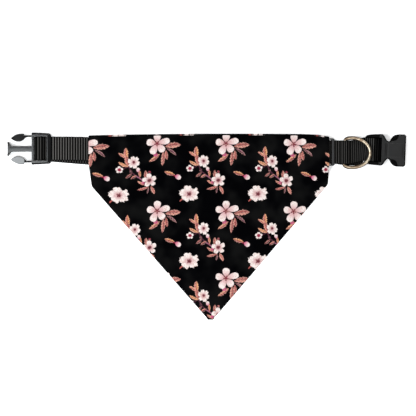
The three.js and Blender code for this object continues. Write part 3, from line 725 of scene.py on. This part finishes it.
def makeBandana():
    centre, plan = clothMiddle()
    columns, rows, _ = centre.shape
    normal = unit(np.cross(np.gradient(centre, axis=1), np.gradient(centre, axis=0)))
    normal *= np.sign(normal[columns // 2, -4, 2])  # the flap's printed side looks up
    outer, inner = centre + normal * bandana["thick"] / 2, centre - normal * bandana["thick"] / 2
    count = rows * columns
    points = np.concatenate([outer.reshape(-1, 3), inner.reshape(-1, 3)]) * mm
    index = np.arange(count).reshape(columns, rows)
    quads = np.stack([index[:-1, :-1], index[1:, :-1], index[1:, 1:], index[:-1, 1:]], axis=-1).reshape(-1, 4)
    faces = [quads[:, ::-1], quads + count]
    for line, flip in ((index[:, 0], 0), (index[:, -1], 1), (index[0, :], 1), (index[-1, :], 0)):
        strip = np.stack([line[:-1], line[1:], line[1:] + count, line[:-1] + count], axis=-1)
        faces.append(strip if flip else strip[:, ::-1])
    thing = meshObject("bandanaCloth", points, np.concatenate(faces).tolist())
    setUv(thing, "clothPlan", np.concatenate([plan.reshape(-1, 2)] * 2))
    setNumbers(thing, "wrongSide", np.concatenate([np.zeros(count), np.ones(count)]))
    thing.data.set_sharp_from_angle(angle=bandana["sharpFrom"] * degree)
    return thing


bandanaCloth = makeBandana()
dress(bandanaCloth, clothMaterial(), collarBody, "bandana")
print("bandana ready")


# webbing: one ribbed nylon band along the collar's route (millimetres)

webbing = {"width": 24.8, "thick": 1.2, "fineStep": 0.3, "coarseStep": 4.0, "arcStep": 9.0, "acrossSteps": 8,
           "leftPitch": 2.73, "rightPitch": 2.1, "ribHeight": 0.5, "roundness": 1.0, "rimRibs": 0.35,
           "ribJitter": 0.03, "seed": 7, "leftShown": -118, "rightShown": 126, "leftRibs": 1.0,
           "rightRibs": 0.7, "lowerRunFrom": -166, "lowerRunShade": 0.55, "pairedAt": -150,
           "inSlot": (175.8, 4.0)}
ribLightAlong = [  # x and how much of the ribs' painted highlight shows: it fades from left to right, and is least in the slack loops of the buckles, a painted shade
    (-178.7, 0.08), (-176.4, 0.12), (-175.2, 0.48), (-173.4, 0.48), (-171.8, 0.2), (-169.0, 0.12),
    (-166.0, 1.0), (-131, 0.6), (-118, 0.5), (126, 0.46), (160, 0.28), (169, 0.44), (173.6, 0.54),
    (174.6, 0.12),
]
nylonLook = {"specular": 0.12, "dark": "020202", "lit": "6a6865", "roughness": 0.42, "dullRoughness": 0.95,
             "ridgePower": 4.5, "highlightEdge": (0.2, 1.1), "warpPitch": 0.45, "weftPitch": 0.6,
             "fibrePitch": 0.62, "fibreShare": 0.35, "fibreBump": 2.0, "bump": 0.3, "bumpDepth": 0.2}
gap, cloth, liftOff = 0.3, 1.0, 0.2
webThick = webbing["thick"]
sleeveFloor = cloth + gap + webThick / 2
layer = webThick + gap
sewn = webThick + 0.1
ground = liftOff + webThick / 2
slider = {"x": 122.35, "z": 4.9, "tilt": 12.0, "thick": 1.8, "middleBar": 4.0}
ring = {"x": 143.7, "y": 76.7, "z": 3.6, "wire": 1.9, "half": 15.4, "cornerX": 7.0, "cornerY": 3.1,
        "depth": 26.9, "tilt": 11.0, "turn": -2.5, "steps": 168, "sides": 22}
femaleTurn = -2.2


def onSlider(along, above):
    tilt = slider["tilt"] * degree
    return (slider["x"] + along * math.cos(tilt) + above * math.sin(tilt),
            slider["z"] - along * math.sin(tilt) + above * math.cos(tilt))


wrapAbove = slider["thick"] / 2 + gap + webThick / 2
wrapBeside = slider["middleBar"] / 2 + gap + webThick / 2
maleWrapX, maleWrapHigh, maleWrapLow, slackMale = -176.0, 5.2, 1.0, -178.7
femaleWrapX, femaleWrapHigh, slackFemale = 175.35, 4.6, 180.5
ringTop = ring["z"] + ring["wire"] + gap + webThick / 2 + 0.3
sliderLeft, sliderRight = onSlider(-wrapBeside, wrapAbove), onSlider(wrapBeside, wrapAbove)
overLeft, overRight = onSlider(-wrapBeside, wrapAbove + layer), onSlider(wrapBeside + 0.9, wrapAbove + layer)

collarRoute = [  # x, z, corner radius, y of the middle line, turn of the width in plan
    (84.0, sleeveFloor + sewn, 0, 77.1, 0), (116.4, sleeveFloor + sewn, 1.2, 77.1, 0),
    (*sliderLeft, 1.0, 77.1, 0), (*sliderRight, 1.0, 77.1, 0),
    (onSlider(wrapBeside, 0)[0] + 0.2, sleeveFloor, 1.6, 77.1, 0),
    (104, sleeveFloor, 0, 77.0, 0), (40, sleeveFloor, 0, 75.7, 0), (-50, sleeveFloor, 0, 74.9, 0),
    (-123.2, sleeveFloor, 0, 76.4, 0), (-131, ground, 0, 76.9, 0), (-152, ground, 0, 78.6, 0),
    (-161.7, ground, 0, 79.5, 0), (-166.4, ground, 0, 80.4, 0), (-170, maleWrapLow, 0, 80.7, 0),
    (slackMale, maleWrapLow - 0.1, 0.9, 80.75, 0), (slackMale, maleWrapLow + 1.9, 0.9, 80.75, 0),
    (maleWrapX + 0.2, maleWrapHigh, 1.6, 80.8, 0),
    (-171.1, maleWrapHigh, 2.6, 80.8, 0), (-167.2, ground + layer, 2.4, 80.9, 0),
    (-131, ground + layer, 0, 80.65, 0), (-123.2, sleeveFloor + layer, 0, 80.2, 0),
    (92, sleeveFloor + layer, 0, 77.4, 0), (104, sleeveFloor + sewn + layer, 0, 77.2, 0),
    (115.2, sleeveFloor + sewn + layer, 2.0, 77.1, 0), (*overLeft, 2.4, 77.1, 0), (*overRight, 2.2, 77.1, 0),
    (128.2, ground, 1.4, 77.1, 0), (134.2, ground, 0, 77.1, 0), (136.8, ground + sewn, 0, 76.9, 0),
    (138.9, ground + sewn, 1.0, 76.8, 0), (140.6, ringTop, 1.9, 76.7, 0), (147.1, ringTop, 1.9, 76.7, 0),
    (148.8, ground + sewn, 1.0, 76.8, 0), (154.5, ground + sewn, 0, 77.9, 0),
    (163.6, femaleWrapHigh, 0, 80.0, femaleTurn), (femaleWrapX, femaleWrapHigh, 1.6, 79.6, femaleTurn),
    (femaleWrapX + 0.3, ground + layer, 0.7, 79.6, femaleTurn),
    (slackFemale, ground + layer, 0.7, 79.4, femaleTurn),
    (slackFemale, ground, 0.7, 79.4, femaleTurn), (163.6, ground, 0, 80.0, femaleTurn),
    (162.2, ground, 0, 76.6, 0), (156, ground, 0, 75.6, 0), (146, ground, 0, 75.7, 0),
    (136.6, ground, 0, 76.7, 0),
]


def routeStations(route):
    stations = []
    for i, (x, z, radius, y, turn) in enumerate(route):
        here = np.array([x, z])
        if not radius:
            stations.append((x, z, y, turn))
            continue
        before = unit(np.array(route[i - 1][:2]) - here)
        after = unit(np.array(route[i + 1][:2]) - here)
        turned = math.pi - math.acos(np.clip(before @ after, -1, 1))
        reach = radius * math.tan(turned / 2)
        start = here + before * reach
        centre = here + unit(before + after) * math.hypot(radius, reach)
        side = -np.sign(before[0] * after[1] - before[1] * after[0]) or 1
        steps = max(1, math.ceil(turned / degree / webbing["arcStep"]))
        for k in range(steps + 1):
            a = side * turned * k / steps
            dx, dz = start - centre
            stations.append((centre[0] + dx * math.cos(a) - dz * math.sin(a),
                             centre[1] + dx * math.sin(a) + dz * math.cos(a), y, turn))
    return np.array(stations)


def refined(stations):
    rows = [stations[0]]
    for a, b in zip(stations[:-1], stations[1:]):
        hidden = webbing["leftShown"] < min(a[0], b[0]) and max(a[0], b[0]) < webbing["rightShown"]
        length = np.linalg.norm(b[:2] - a[:2])
        coarse = hidden or length < webbing["fineStep"]
        steps = max(1, math.ceil(length / webbing["coarseStep" if coarse else "fineStep"]))
        rows += [a + (b - a) * k / steps for k in range(1, steps + 1)]
    return np.array(rows)


def ribTree():
    tree, given, result = nodeGroup("webbingRibs", [
        ("Geometry", "Geometry", None), ("Rib Height", "Float", 0.0003), ("Roundness", "Float", 0.6),
        ("Unevenness", "Float", 0.1), ("Seed", "Float", 0.0), ("Material", "Material", None),
    ], [("Geometry", "Geometry")], "GeometryNodeTree")
    kind = "GeometryNodeInputNamedAttribute"
    phase, shown = [addNode(tree, kind, {"Name": name}, data_type="FLOAT").outputs[0]
                    for name in ("ribPhase", "ribShare")]
    ridge = calc("ABSOLUTE", calc("SINE", times(phase, math.pi)))
    ridge = minus(calc("POWER", ridge, given["Roundness"]), 0.6)  # grooves sink, ribs rise
    place = addNode(tree, "GeometryNodeInputPosition").outputs[0]
    noise = addNode(tree, "ShaderNodeTexNoise", {"Vector": place, "W": given["Seed"], "Scale": 900.0},
                    noise_dimensions="4D").outputs[0]
    rough = times(minus(noise, 0.5), given["Unevenness"])
    height = times(plus(ridge, rough), given["Rib Height"], shown)
    offset = scaled(addNode(tree, "GeometryNodeInputNormal").outputs[0], height)
    moved = {"Geometry": given["Geometry"], "Offset": offset}
    real = {0: addNode(tree, "GeometryNodeSetPosition", moved).outputs[0]}
    painted = {"Geometry": addNode(tree, "GeometryNodeRealizeInstances", real).outputs[0],
               "Material": given["Material"]}
    plug(result["Geometry"], addNode(tree, "GeometryNodeSetMaterial", painted).outputs[0])
    return tree


def runNodes(thing, tree, values):
    modifier = thing.modifiers.new(tree.name, "NODES")
    modifier.node_group = tree
    sockets = {s.name: s.identifier for s in tree.interface.items_tree if s.in_out == "INPUT"}
    for label, value in values.items():
        modifier[sockets[label]] = value
    return applyModifiers(thing)


def webbingMaterial():
    look, halfWidth = nylonLook, webbing["width"] / 2
    material, tree, finish = newMaterial("ribbedNylon", Specular_IOR_Level=look["specular"])
    place = addNode(tree, "ShaderNodeUVMap", uv_map="bandPlan").outputs[0]
    across = split(place)["Y"]
    # painted highlight: the ribs' tops are coloured light grey and the grooves between them near black, a
    # painted shade; the highlight fades out near the band's edges
    ridge = calc("ABSOLUTE", calc("SINE", times(attribute(tree, "ribPhase"), math.pi)))
    outer, inner = look["highlightEdge"]
    highlightEdge = rescale(calc("ABSOLUTE", across), halfWidth - outer, halfWidth - inner)
    lit = times(calc("POWER", ridge, look["ridgePower"]), highlightEdge)
    threads = useGroup(tree, weave, {"Position": place, "Warp Pitch": look["warpPitch"],
                                     "Weft Pitch": look["weftPitch"]})
    fibre = calc("SINE", times(across, 2 * math.pi / look["fibrePitch"]))
    fibre = times(rescale(fibre, -1.0, 1.0), look["fibreShare"])
    lit = times(lit, minus(1.0, fibre), rescale(threads["Thread"], 0.3, 0.7, 0.6, 1.0))
    bright = times(lit, attribute(tree, "ribHighlightShare"))
    colour = blend(bright, linear(look["dark"]), linear(look["lit"]))
    height = plus(threads["Height"], times(fibre, look["fibreBump"]))
    rough = rescale(lit, 0.0, 1.0, look["dullRoughness"], look["roughness"])
    metal = rescale(lit, 0.5, 0.0, 0.0, 0.9)  # takes the sheen off between the ribs
    bump = bumpFrom(height, look["bump"], look["bumpDepth"])
    plugAll(finish, Base_Color=colour, Roughness=rough, Metallic=metal, Normal=bump)
    return material


def bandSection():  # a flat band with rounded edges: each point's place across and its height
    rim = webbing["thick"] / 2
    side = np.linspace(-1, 1, webbing["acrossSteps"] + 1) * (webbing["width"] / 2 - rim)
    ends = [(math.cos(a), math.sin(a)) for a in np.linspace(-math.pi / 2, math.pi / 2, 6)[1:-1]]
    section = [(v, -rim) for v in side] + [(side[-1] + rim * c, rim * s) for c, s in ends]
    section += [(v, rim) for v in side[::-1]] + [(side[0] - rim * c, -rim * s) for c, s in ends]
    return np.array(section).T


def makeWebbing():
    w = webbing
    x, z, y, turn = refined(routeStations(collarRoute)).T
    across, lift = bandSection()
    along = unit(np.gradient(np.stack([x, z], axis=-1), axis=0))
    turnAngle = turn[:, None] * degree
    points = np.stack([x[:, None] - lift * along[:, 1:2] - across * np.sin(turnAngle),
                       y[:, None] + across * np.cos(turnAngle),
                       z[:, None] + lift * along[:, 0:1]], axis=-1)
    size, count = len(across), len(x)
    last = (count - 1) * size
    caps = [tuple(range(size - 1, -1, -1)), tuple(range(last, last + size))]
    thing = meshObject("collarWebbing", points.reshape(-1, 3) * mm, tubeFaces(count, size) + caps)
    step = np.linalg.norm(np.diff(np.stack([x, z, y], axis=-1), axis=0), axis=-1)
    pitch = np.where((x[1:] + x[:-1]) / 2 < 0, w["leftPitch"], w["rightPitch"])
    phase = runningSum(step / pitch)
    wrap = int(np.argmin(x))  # the lower run's ribs lie half a pitch off the upper run's
    lowerRun = (np.arange(count) < wrap) & (x > w["lowerRunFrom"])
    over = np.interp(w["pairedAt"], x[wrap:wrap + 400], phase[wrap:wrap + 400])
    under = np.interp(-w["pairedAt"], -x[:wrap], phase[:wrap])
    phase = np.where(lowerRun, phase - under - over - 0.5, phase)
    shown = np.where(x < w["leftShown"], w["leftRibs"], np.where(x > w["rightShown"], w["rightRibs"], 0.0))
    rimShare = np.where(np.abs(across) > (w["width"] - w["thick"]) / 2 + 0.01, w["rimRibs"], 1.0)
    # painted shade: the lower run's highlight is dimmed, and the loop in the female buckle's slot gets none
    inSlot = (x > w["inSlot"][0]) & (z < w["inSlot"][1])
    paintedShading = np.where(lowerRun, w["lowerRunShade"], 1.0) * np.where(inSlot, 0.0, lookUp(ribLightAlong, x))
    setNumbers(thing, "ribPhase", np.repeat(phase, size))
    setNumbers(thing, "ribShare", (shown[:, None] * rimShare).ravel())
    setNumbers(thing, "ribHighlightShare", np.repeat(paintedShading, size))
    plan = np.stack([np.repeat(runningSum(step)[:, None], size, 1), np.tile(across, (count, 1))], axis=-1)
    setUv(thing, "bandPlan", plan.reshape(-1, 2))
    material = webbingMaterial()
    runNodes(thing, ribTree(), {"Rib Height": w["ribHeight"] * mm, "Roundness": w["roundness"],
                                "Unevenness": w["ribJitter"], "Seed": float(w["seed"]), "Material": material})
    return thing, material


collarWebbing, nylon = makeWebbing()
dress(collarWebbing, nylon, collarBody, "collar_webbing")
print("webbing ready")


# moulded plastic: slider and both buckle halves

plasticLook = {  # colour, roughness, how strongly the surface mirrors, height below which shade is painted (mm)
    "male": ("0b0c0d", 0.22, 0.66, 4.1),
    "female": ("0c0c0c", 0.34, 0.35, 9.3),
    "slider": ("060606", 0.26, 0.4, 0.0),
}
grainLook = {"grainScale": 1800.0, "cloudScale": 90.0, "cloud": "161617", "cloudShare": 0.35,
             "hollow": "020202", "uneven": 0.18, "dullRoughness": 0.4, "dullMetal": 0.8, "bump": 0.12,
             "bumpDepth": 0.1}
springArms = {"x": -186.0, "half": 3.8, "y": 80.4, "beside": 9.0}  # the thin arms are darkened, a painted shade, and given a matt finish
sliderHighlight = {"x": 131.5, "half": 1.3, "colour": "424243"}  # a painted highlight: a lighter grey strip across the slider's right bar
mould = {"flat": 1.5, "merge": 0.12, "edge": 0.22, "segments": 3, "bevelFrom": 28, "sharpFrom": 34}


def grainGroup():
    look = grainLook
    tree, given, result = nodeGroup("mouldGrain", [
        ("Position", "Vector", None), ("Colour", "Color", None), ("Roughness", "Float", 0.4),
        ("ShadeBelow", "Float", 0.0),
    ], [("Colour", "Color"), ("Roughness", "Float"), ("Height", "Float"), ("Dull", "Float")])
    grain = noiseAt(given["Position"], look["grainScale"], 3.0)[0]
    cloud = noiseAt(given["Position"], look["cloudScale"], 4.0)[0]
    # painted shade: whatever lies more than a little below the given height is darkened to near black and
    # made rougher
    below = minus(given["ShadeBelow"], times(split(given["Position"])["Z"], 1000.0))
    paintedShade = rescale(below, 0.1, 0.6)
    share = rescale(cloud, 0.35, 0.7, 0.0, look["cloudShare"])
    colour = blend(share, given["Colour"], linear(look["cloud"]))
    rough = times(minus(cloud, 0.5), look["uneven"])
    rough = plus(rough, times(paintedShade, look["dullRoughness"]))
    colour = blend(paintedShade, colour, linear(look["hollow"]))
    rough = plus(given["Roughness"], rough)
    plugAll(result, Colour=colour, Roughness=rough, Height=grain, Dull=paintedShade)
    return tree


mouldGrain = grainGroup()


def plasticMaterial(name, code, roughness, specular, shadeBelow, shadedArms, highlightStrip):
    material, tree, finish = newMaterial(name, Specular_IOR_Level=specular)
    place = addNode(tree, "ShaderNodeTexCoord").outputs["Object"]
    look = useGroup(tree, mouldGrain, {"Position": place, "Colour": linear(code), "Roughness": roughness,
                                       "ShadeBelow": shadeBelow})
    colour, paintedShade, rough = look["Colour"], look["Dull"], look["Roughness"]
    parts = split(vectorCalc("MULTIPLY", place, (1e3, 1e3, 1e3)))  # millimetres
    if shadedArms:
        away = calc("ABSOLUTE", minus(parts["X"], shadedArms["x"]))
        beside = calc("ABSOLUTE", minus(parts["Y"], shadedArms["y"]))
        armShade = limited(times(minus(shadedArms["half"], away), 2.0))
        armShade = times(armShade, calc("GREATER_THAN", beside, shadedArms["beside"]))
        paintedShade = calc("MAXIMUM", paintedShade, armShade)
        # painted shade: the thin arms' colour goes to near black
        colour = blend(armShade, colour, linear(grainLook["hollow"]))
        rough = plus(rough, times(armShade, grainLook["dullRoughness"]))
    if highlightStrip:
        away = calc("ABSOLUTE", minus(parts["X"], highlightStrip["x"]))
        # painted highlight: a lighter grey strip across the slider's bar
        strip = rescale(calc("MINIMUM", away, highlightStrip["half"]), highlightStrip["half"], 0.0)
        colour = blend(strip, colour, linear(highlightStrip["colour"]))
    metal = times(paintedShade, grainLook["dullMetal"])  # takes the sheen off where shade is painted, in hollows and on the thin arms
    bump = bumpFrom(look["Height"], grainLook["bump"], grainLook["bumpDepth"])
    plugAll(finish, Base_Color=colour, Roughness=rough, Metallic=metal, Normal=bump)
    return material


def mouldedCopy(node, name):
    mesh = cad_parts[node].data.copy()
    work = bmesh.new()
    work.from_mesh(mesh)
    bmesh.ops.remove_doubles(work, verts=work.verts, dist=1e-6)
    bmesh.ops.dissolve_limit(work, angle_limit=mould["flat"] * degree, verts=work.verts, edges=work.edges)
    bmesh.ops.remove_doubles(work, verts=work.verts, dist=mould["merge"] * mm)
    work.to_mesh(mesh)
    work.free()
    thing = placed(name, mesh)
    bevel = thing.modifiers.new("edges", "BEVEL")
    bevel.width = mould["edge"] * mm
    bevel.segments = mould["segments"]
    bevel.limit_method = "ANGLE"
    bevel.angle_limit = mould["bevelFrom"] * degree
    bevel.use_clamp_overlap = False
    applyModifiers(thing)
    thing.data.shade_smooth()
    thing.data.set_sharp_from_angle(angle=mould["sharpFrom"] * degree)
    level = thing.modifiers.new("flatFaces", "WEIGHTED_NORMAL")
    level.mode = "FACE_AREA"
    level.keep_sharp = True
    return applyModifiers(thing)


for node, name, finish, look, shadedArms, highlightStrip in (
        ("male_buckle", "maleBuckle", "mouldedMale", plasticLook["male"], springArms, None),
        ("female_buckle", "femaleBuckle", "mouldedFemale", plasticLook["female"], None, None),
        ("tri_glide", "triGlide", "mouldedSlider", plasticLook["slider"], None, sliderHighlight)):
    moulding = mouldedCopy(node, name)
    dress(moulding, plasticMaterial(finish, *look, shadedArms, highlightStrip), collarBody, node)
print("plastic pieces ready")


# D-ring: round wire, nickel plated

nickelLook = {"colour": "beb29d", "tint": "8c7965", "paintedShading": "5a4736", "roughness": (0.28, 0.43),
              "cloudScale": 260.0, "shadingFrom": 8.5, "shadingOver": 6.0, "shadingShare": 0.75}


def ringLine():
    half, cornerX, cornerY, depth = (ring[k] for k in ("half", "cornerX", "cornerY", "depth"))
    points = [(0.0, y) for y in np.linspace(0, half - cornerY, 24)]
    for a in np.linspace(math.pi, math.pi / 2, 24)[1:]:
        points.append((cornerX + cornerX * math.cos(a), half - cornerY + cornerY * math.sin(a)))
    for a in np.linspace(math.pi / 2, 0, 60)[1:]:
        points.append((cornerX + (depth - cornerX) * math.cos(a), half * math.sin(a)))
    upper = np.array(points)
    lower = upper[-2:0:-1] * [1, -1]
    loop = np.vstack([upper, lower, upper[:1]])
    distance = runningSum(np.linalg.norm(loop[1:] - loop[:-1], axis=-1))
    at = np.linspace(0, distance[-1], ring["steps"], endpoint=False)
    return np.stack([np.interp(at, distance, loop[:, 0]), np.interp(at, distance, loop[:, 1])], axis=-1)


def makeRing():
    line = ringLine()
    ahead = np.roll(line, -1, axis=0) - np.roll(line, 1, axis=0)
    out = unit(np.stack([-ahead[:, 1], ahead[:, 0]], axis=-1))
    a = np.linspace(0, 2 * math.pi, ring["sides"], endpoint=False)
    flat = line[:, None, :] + ring["wire"] * np.cos(a)[None, :, None] * out[:, None, :]
    high = np.tile(ring["wire"] * np.sin(a), (len(line), 1))
    tilt, turn = ring["tilt"] * degree, ring["turn"] * degree
    px = flat[..., 0] * math.cos(tilt) - high * math.sin(tilt)
    pz = flat[..., 0] * math.sin(tilt) + high * math.cos(tilt)
    py = flat[..., 1]
    x = ring["x"] + px * math.cos(turn) - py * math.sin(turn)
    y = ring["y"] + px * math.sin(turn) + py * math.cos(turn)
    points = np.stack([x, y, pz + ring["z"]], axis=-1).reshape(-1, 3) * mm
    return meshObject("leashRing", points, tubeFaces(ring["steps"], ring["sides"], closed=True))


def nickelMaterial():
    look = nickelLook
    material, tree, finish = newMaterial("nickelPlate", Metallic=1.0)
    place = addNode(tree, "ShaderNodeTexCoord").outputs["Object"]
    cloud = noiseAt(place, look["cloudScale"], 4.0)[0]
    colour = blend(rescale(cloud, 0.4, 0.65), linear(look["colour"]), linear(look["tint"]))
    # painted reflection: the wire darkens to brown towards the ring's top and bottom arcs, away from its
    # middle line
    beside = minus(split(place)["Y"], ring["y"] * mm)
    paintedShading = minus(calc("ABSOLUTE", beside), look["shadingFrom"] * mm)
    paintedShading = limited(calc("DIVIDE", paintedShading, look["shadingOver"] * mm))
    colour = blend(times(paintedShading, look["shadingShare"]), colour, linear(look["paintedShading"]))
    rough = rescale(cloud, 0.3, 0.7, *look["roughness"])
    plugAll(finish, Base_Color=colour, Roughness=rough)
    return material


leashRing = makeRing()
dress(leashRing, nickelMaterial(), ringBody, "d_ring")
print("ring ready")
